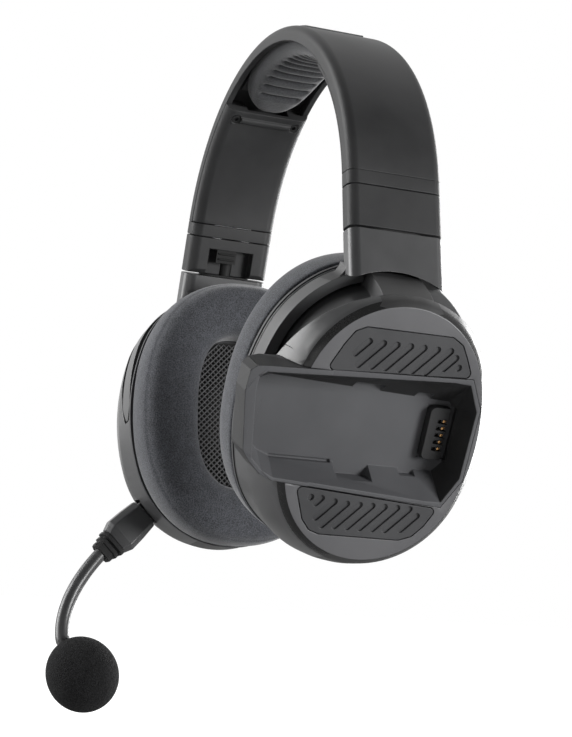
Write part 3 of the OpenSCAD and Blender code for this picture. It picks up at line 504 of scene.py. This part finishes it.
def cup_bevel_and_painted_light(piece, side):
    """Gives the chamfer round a cup's face its satin black, paints the face paler as painted light
    and the neck's top black as painted shade.
    """
    for material in (satin_black, black_plastic, painted_light_face_grey):
        piece.data.materials.append(material)
    for face in piece.data.polygons:
        u, v, w = cup_place(side, face.center)
        facing = cup_place(side, in_cup(side, 0, 0, 0) + face.normal * MM)[2]
        if face_w - chamfer_w < w < face_w - 0.02 and 0.25 < facing < 0.97:
            face.material_index = 1
        # Painted shade: the top of the neck gets black plastic.
        if abs(u) < shaded_neck_half_width and math.hypot(v - cup_drop, w) > shaded_neck_radius:
            face.material_index = 2
        # Painted light: the outer face gets the paler grey.
        if w > face_w - 0.2 and facing > 0.9:
            face.material_index = 3


for side, name in ((1, "left"), (-1, "right")):
    cup_bevel_and_painted_light(moulding("cup_shell_" + name, 0.25 * MM, charcoal, "shell"), side)
    finish_node("baffle_" + name, panel_grey)
    finish_node("driver_" + name, black_plastic)
moulding("face_cap_right", 0.25 * MM, panel_grey, "panel")

# ---- battery bay -----------------------------------------------------------------------
# A grey insert with key notches and a sunk block of five gold-plated spring contacts, and
# two vent panels with blind slots above and below it.
bay_grey = grained("bay_plastic", (0.066, 0.067, 0.072), 0.6, Specular_IOR_Level=0.3)
tongue_u = -36
tongue_corner = 1.2 * MM
tongue_middle_u, tongue_wall_u, shade_rear_wall_u, shade_upper_wall_v = -10, -30, 24, 5


def round_tongue(shape):
    """Rounds the corners at the tongue's end, where they run through its depth."""
    through = in_cup(1, 0, 0, 1) - in_cup(1, 0, 0, 0)
    corners = []
    for edge in shape.edges:
        ends = [cup_place(1, vertex.co) for vertex in edge.verts]
        line = (edge.verts[1].co - edge.verts[0].co).normalized()
        if (max(ends[0][0], ends[1][0]) < tongue_u and abs(line.dot(through.normalized())) > 0.75
                and edge.calc_face_angle(0) > math.radians(12)):
            corners.append(edge)
    bmesh.ops.bevel(shape, geom=corners, offset=tongue_corner, segments=3, profile=0.5,
                    affect="EDGES", clamp_overlap=True)


battery_bay = moulding("battery_bay", 0.25 * MM, bay_grey, "panel", reshape=round_tongue)
# Black plastic on the tongue's outer wall, dark like the shell and partly painted shade, and on
# faces turned into the cup; on the pocket's rear and upper walls it is painted shade.
battery_bay.data.materials.append(band_black)
for face in battery_bay.data.polygons:
    u, v, w = cup_place(1, face.center)
    nu, nv, nw = cup_place(1, in_cup(1, 0, 0, 0) + face.normal * MM)
    from_middle = u - tongue_middle_u
    outward = (nu * from_middle + nv * v) / math.hypot(from_middle, v)
    outer_wall = u < tongue_wall_u and outward > 0.3 and nw < 0.8
    rear_wall_shade = u > shade_rear_wall_u and nu < -0.3
    upper_wall_shade = nv < -0.5 and v > shade_upper_wall_v and w < face_w - 0.4
    if nw < -0.3 or outer_wall or rear_wall_shade or upper_wall_shade:
        face.material_index = 1
for node in ("vent_panel_upper", "vent_panel_lower"):
    moulding(node, 0.16 * MM, panel_grey, "panel", flat=True)
moulding("contact_block", 0.2 * MM, band_black, "black_plastic", flat=True)

# The contacts are gold at their tips; the rest of each strip is painted near black as painted
# shade of the slots.
gold_colour, strip_shade_colour = (0.9, 0.5, 0.2), (0.01, 0.01, 0.01)
gold_tip_y = 25.0 * MM
gold = grained("gold_plating", gold_colour, 0.24, relief=0.01, group_inputs={"Grain": 5200.0})
gold_nodes = gold.node_tree
contact_place = gold_nodes.nodes.new("ShaderNodeTexCoord").outputs["Object"]
along_contact = wire(gold_nodes, "ShaderNodeSeparateXYZ", Vector=contact_place).outputs["Y"]
gold_tip = maths(gold_nodes, "GREATER_THAN", along_contact, gold_tip_y)
gold_tip_and_shade_colour = mix_colour(gold_nodes, gold_tip, (*strip_shade_colour, 1), (*gold_colour, 1))
gold_nodes.links.new(gold_tip_and_shade_colour, gold_nodes.nodes["Principled BSDF"].inputs["Base Color"])
gold_nodes.links.new(maths(gold_nodes, "MULTIPLY", gold_tip, 0.6),
                     gold_nodes.nodes["Principled BSDF"].inputs["Metallic"])
finish_node("battery_contacts", gold)
board_green = grained("circuit_board_green", (0.012, 0.09, 0.035), 0.35, Coat_Weight=0.4)
finish_node("main_board", board_green)

# ---- ear cushions ----------------------------------------------------------------------
# Foam rings in heathered cloth: a side wall sewn to a crowned face, which rolls over into
# the ear opening. Their hidden rims clip over the baffle.
cushion_cloth = grained("cushion_cloth", (0.052, 0.0545, 0.062), 0.9, HEATHERED_KNIT, relief=0.4,
                        depth=0.00016, group_inputs={"Loops": 2300.0, "Fleck": 0.75},
                        Sheen_Weight=0.25, Sheen_Roughness=0.45)
cushion_base_w = -7.9
cushion_thickness = 18.5
# half width, half height and squareness of the cushion's outline and of its ear opening
cushion_outline = (42.7, 52.7, 2.25)
ear_opening = (19, 30.5, 2.7)
cushion_sides = 72
# across the cushion as shares of its width and thickness, from the opening outwards
cushion_section = ((0.03, 0.0), (0.5, 0.0), (0.97, 0.0), (1.0, 0.05), (1.012, 0.22), (1.015, 0.42),
                   (1.0, 0.6), (0.978, 0.7), (0.955, 0.735), (0.94, 0.765), (0.915, 0.83),
                   (0.85, 0.915), (0.76, 0.965), (0.62, 0.997), (0.46, 1.0), (0.3, 0.985),
                   (0.17, 0.93), (0.07, 0.82), (0.015, 0.66), (0.0, 0.4), (0.0, 0.12))


def superoval(a, b, power, count):
    """Points round an oval of half axes a and b, squarer as the power grows."""
    points = []
    for k in range(count):
        c, s = math.cos(2 * math.pi * k / count), math.sin(2 * math.pi * k / count)
        points.append((a * math.copysign(abs(c) ** (2 / power), c),
                       b * math.copysign(abs(s) ** (2 / power), s)))
    return points


def cushion(side, name):
    outer = superoval(*cushion_outline, cushion_sides)
    inner = superoval(*ear_opening, cushion_sides)
    rings = []
    for (ou, ov), (iu, iv) in zip(outer, inner):
        rings.append([in_cup(side, iu + (ou - iu) * p, iv + (ov - iv) * p,
                             cushion_base_w - cushion_thickness * h) for p, h in cushion_section])
    piece = loft("ear_cushion_" + name + "_sewn", rings, closed_path=True)
    rounding = piece.modifiers.new("foam", "SUBSURF")
    rounding.levels = rounding.render_levels = 2
    settle(piece)
    dress(piece, cushion_cloth)
    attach(piece, "cup_" + name)
    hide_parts("ear_cushion_" + name)


cushion(1, "left")
cushion(-1, "right")

# ---- speaker cloth ---------------------------------------------------------------------
# A black woven net stretched over the ear opening: two families of slanting strands.
net_black = grained("net_strand", (0.055, 0.055, 0.057), 0.5, group_inputs={"Grain": 5200.0})
backing_black = grained("speaker_backing", (0.004, 0.004, 0.004), 0.95)
net_w = -9.2
net_sag = 1.2


def net_tree():
    """A flat oval of strands crossing at right angles, as wide as its inputs say."""
    cloth_size, oval_power = 0.09, 2.7
    tree = bpy.data.node_groups.new("woven_net", "GeometryNodeTree")
    for name, kind, value in (("Half Width", "Float", 0.0185), ("Half Height", "Float", 0.030),
                              ("Pitch", "Float", 0.0016), ("Strand Radius", "Float", 0.0003),
                              ("Lean", "Float", 0.8)):
        socket(tree, name, kind, value)
    socket(tree, "Strand", "Material")
    tree.interface.new_socket(name="Geometry", in_out="OUTPUT", socket_type="NodeSocketGeometry")
    given = tree.nodes.new("NodeGroupInput").outputs
    count = maths(tree, "DIVIDE", cloth_size, given["Pitch"])
    cloth = wire(tree, "GeometryNodeMeshGrid", Size_X=cloth_size, Size_Y=cloth_size,
                 Vertices_X=count, Vertices_Y=count)
    turned = tree.nodes.new("GeometryNodeTransform")
    tree.links.new(cloth.outputs["Mesh"], turned.inputs["Geometry"])
    spin = wire(tree, "ShaderNodeCombineXYZ", Z=given["Lean"])
    tree.links.new(spin.outputs[0], turned.inputs["Rotation"])
    place = tree.nodes.new("GeometryNodeInputPosition")
    axes = wire(tree, "ShaderNodeSeparateXYZ", Vector=place.outputs[0])
    across, upward = (
        maths(tree, "POWER", maths(tree, "ABSOLUTE", maths(
            tree, "DIVIDE", axes.outputs[axis], given[half])), oval_power)
        for axis, half in (("X", "Half Width"), ("Y", "Half Height")))
    outside = tree.nodes.new("FunctionNodeCompare")
    outside.operation = "GREATER_THAN"
    tree.links.new(maths(tree, "ADD", across, upward), outside.inputs[0])
    outside.inputs[1].default_value = 1.0
    trimmed = tree.nodes.new("GeometryNodeDeleteGeometry")
    tree.links.new(turned.outputs[0], trimmed.inputs["Geometry"])
    tree.links.new(outside.outputs[0], trimmed.inputs["Selection"])
    strands = wire(tree, "GeometryNodeMeshToCurve", Mesh=trimmed.outputs[0])
    section = wire(tree, "GeometryNodeCurvePrimitiveCircle", Radius=given["Strand Radius"],
                   Resolution=4)
    tubes = wire(tree, "GeometryNodeCurveToMesh", Curve=strands.outputs[0],
                 Profile_Curve=section.outputs[0])
    joined = wire(tree, "GeometryNodeRealizeInstances", Geometry=tubes.outputs[0])
    dressed = wire(tree, "GeometryNodeSetMaterial", Geometry=joined.outputs[0],
                   Material=given["Strand"])
    out = tree.nodes.new("NodeGroupOutput")
    tree.links.new(dressed.outputs[0], out.inputs[0])
    return tree


WOVEN_NET = net_tree()


def grown(name, tree, **inputs):
    """The plain mesh that a node tree makes with these inputs."""
    piece = bpy.data.objects.new(name, bpy.data.meshes.new(name))
    bpy.context.collection.objects.link(piece)
    maker = piece.modifiers.new("maker", "NODES")
    maker.node_group = tree
    for item in tree.interface.items_tree:
        key = item.name.replace(" ", "_")
        if item.in_out == "INPUT" and key in inputs:
            maker[item.identifier] = inputs[key]
    settle(piece)
    return piece


def seat_in_cup(piece, side, w, bow):
    """Turns a flat piece made in the x-y plane into a cup's plane at height w, bowed in."""
    for vertex in piece.data.vertices:
        x, y, z = vertex.co / MM
        sag = bow * max(0.0, 1 - (x / 19) ** 2 - (y / 31) ** 2)
        vertex.co = in_cup(side, x, y, w + z - sag)


for side, name in ((1, "left"), (-1, "right")):
    net = grown("ear_net_" + name, WOVEN_NET, Strand=net_black)
    seat_in_cup(net, side, net_w, net_sag)
    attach(net, "cup_" + name)
    finish_node("ear_mesh_" + name, backing_black)

# ---- right cup's controls --------------------------------------------------------------
# A power button and two volume buttons in the rear wall, on switches on the control board.
button_grey = grained("button_plastic", (0.05, 0.05, 0.052), 0.36)
for node in ("power_button", "volume_up_button", "volume_down_button"):
    finish_node(node, button_grey)
finish_node("control_board", board_green)
finish_node("button_switches", black_plastic)

# ---- boom microphone -------------------------------------------------------------------
# A flat plug and block, a ribbed rubber strain relief, and a bendable tube to the capsule
# under its foam ball.
finish_node("boom_socket", black_plastic)
finish_node("boom_plug", black_plastic)
moulding("boom_body", 0.3 * MM, charcoal, "shell")
rubber = grained("soft_rubber", (0.006, 0.006, 0.0063), 0.6, Specular_IOR_Level=0.15)
moulding("strain_relief", 0.2 * MM, rubber, "soft_rubber")
finish_node("mic_capsule", steel)

boom_down = math.radians(135)
tube_diameter = 5.5
tube_sides, tube_steps = 28, 48
block_length, relief_length = 17.8, 7.5
relief_end = block_length + relief_length
tube_inside = 9
boom_root = Vector((-29.6, -39.4, 9.5))
boom_direction = Vector((math.cos(boom_down), -math.sin(boom_down), 0))
curve_start = boom_root + relief_end * boom_direction
curve_end = curve_start + Vector((-15, -34.8, -3.2))
start_pull = curve_start + 14 * Vector((-0.66, -0.75, 0)).normalized()
end_pull = curve_end + 12 * Vector((-0.1, 0.96, 0.25)).normalized()
tip_direction = Vector((0.44, -0.83, -0.33)).normalized()
tube_past = 11.4


def tube_point(t):
    """The bend's middle line as one cubic curve, t from 0 at the relief to 1 at the foam."""
    rest = 1 - t
    return (curve_start * rest ** 3 + start_pull * 3 * rest * rest * t
            + end_pull * 3 * rest * t * t + curve_end * t ** 3)


route = [boom_root + (relief_end - tube_inside) * boom_direction]
route += [tube_point(i / tube_steps) for i in range(tube_steps + 1)]
route += [curve_end + tip_direction * far for far in (2, 4, 7, tube_past)]
rings = []
for i, point in enumerate(route):
    along = (route[min(i + 1, len(route) - 1)] - route[max(i - 1, 0)]).normalized()
    sideways = along.cross(Vector((0, 0.2, 1))).normalized()
    upwards = sideways.cross(along)
    ring = []
    for k in range(tube_sides):
        turn = 2 * math.pi * k / tube_sides
        q = point + tube_diameter / 2 * (sideways * math.cos(turn) + upwards * math.sin(turn))
        ring.append(in_cup(-1, *q))
    rings.append(ring)
boom_tube = loft("boom_tube_smooth", rings)
dress(boom_tube, grained("tube_sleeve", (0.036, 0.036, 0.037), 0.36))
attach(boom_tube, "mic_boom")
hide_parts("boom_tube")

foam_black = grained("foam_ball", (0.011, 0.011, 0.0115), 0.95, HEATHERED_KNIT, relief=0.9,
                     depth=0.0004, group_inputs={"Loops": 1700.0, "Fleck": 0.75},
                     Specular_IOR_Level=0.2)
ball_radius = 14.0
ball_rows, ball_columns = 64, 96
ball_past = 4.5
ball_centre = curve_end + tip_direction * (tube_past + ball_past)
side_a = tip_direction.cross(Vector((0, 0, 1))).normalized()
side_b = side_a.cross(tip_direction)
rings = []
for i in range(ball_rows + 1):
    polar = math.pi * (0.008 + 0.984 * i / ball_rows)
    reach = -ball_radius * math.cos(polar) * (1.08 if polar < math.pi / 2 else 1.05)
    girth = ball_radius * math.sin(polar)
    turns = [2 * math.pi * k / ball_columns for k in range(ball_columns)]
    rings.append([in_cup(-1, *(ball_centre + tip_direction * reach + girth * (
        side_a * math.cos(turn) + side_b * math.sin(turn)))) for turn in turns])
ball = loft("windscreen_foam", rings)
dress(ball, foam_black)
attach(ball, "mic_boom")
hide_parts("windscreen")

# ---- studio ----------------------------------------------------------------------------
# A white sweep well below the hanging headset, a white backdrop whose light comes round
# its edges, and large soft lamps in front of it.
floor_z = -250 * MM
floor_size = 8
bpy.ops.mesh.primitive_plane_add(size=floor_size, location=(0, 0, floor_z))
floor = bpy.context.object
floor.name = "floor"
paper = grained("studio_floor", (0.3, 0.3, 0.3), 0.9)
paper_nodes = paper.node_tree
direct = paper_nodes.nodes.new("ShaderNodeLightPath").outputs["Is Camera Ray"]
paper_nodes.links.new(direct, paper_nodes.nodes["Principled BSDF"].inputs["Emission Strength"])
paper_nodes.nodes["Principled BSDF"].inputs["Emission Color"].default_value = (1, 1, 1, 1)
dress(floor, paper)


def lamp(name, place, aim, size, power):
    """A soft box at a place, turned to a point, with its width and height and its watts."""
    data = bpy.data.lights.new(name, "AREA")
    data.shape = "RECTANGLE"
    data.size, data.size_y = size
    data.energy = power
    piece = bpy.data.objects.new(name, data)
    place, aim = Vector(place), Vector(aim)
    turn = (place - aim).to_track_quat("Z", "Y").to_matrix().to_4x4()
    piece.matrix_world = Matrix.Translation(place) @ turn
    bpy.context.collection.objects.link(piece)


lamp("side_softbox", (-0.7, -1.45, 0.55), (0, 0, 0), (1.0, 1.4), 44)
lamp("rim_softbox", (-0.75, 1.45, -0.1), (0, 0, 0), (0.7, 1.6), 40)
lamp("key_softbox", (1.14, 0.96, 0.12), (0, 0, 0), (0.55, 0.55), 26)
lamp("front_fill", (0.8, -1.1, -0.2), (0, 0, 0), (1.0, 1.0), 4)
lamp("top_softbox", (-0.3, 0.2, 1.6), (0, 0, 0.05), (1.2, 1.2), 2)

world = bpy.data.worlds.new("studio")
bpy.context.scene.world = world
world.use_nodes = True
sky = world.node_tree
seen = sky.nodes.new("ShaderNodeLightPath").outputs["Is Camera Ray"]
toward = sky.nodes.new("ShaderNodeTexCoord").outputs["Generated"]
facing = sky.nodes.new("ShaderNodeVectorMath")
facing.operation = "DOT_PRODUCT"
sky.links.new(toward, facing.inputs[0])
facing.inputs[1].default_value = -toward_camera
behind = wire(sky, "ShaderNodeMapRange", Value=facing.outputs["Value"], From_Min=-0.1,
              From_Max=0.55)
room_dark, backdrop_white = (0.012, 0.012, 0.0125, 1), (1.1, 1.1, 1.1, 1)
backdrop = mix_colour(sky, behind.outputs[0], room_dark, backdrop_white)
shade = mix_colour(sky, seen, backdrop, (1.0, 1.0, 1.0, 1))
sky.links.new(shade, sky.nodes["Background"].inputs["Color"])
bpy.context.scene.view_settings.view_transform = "Standard"
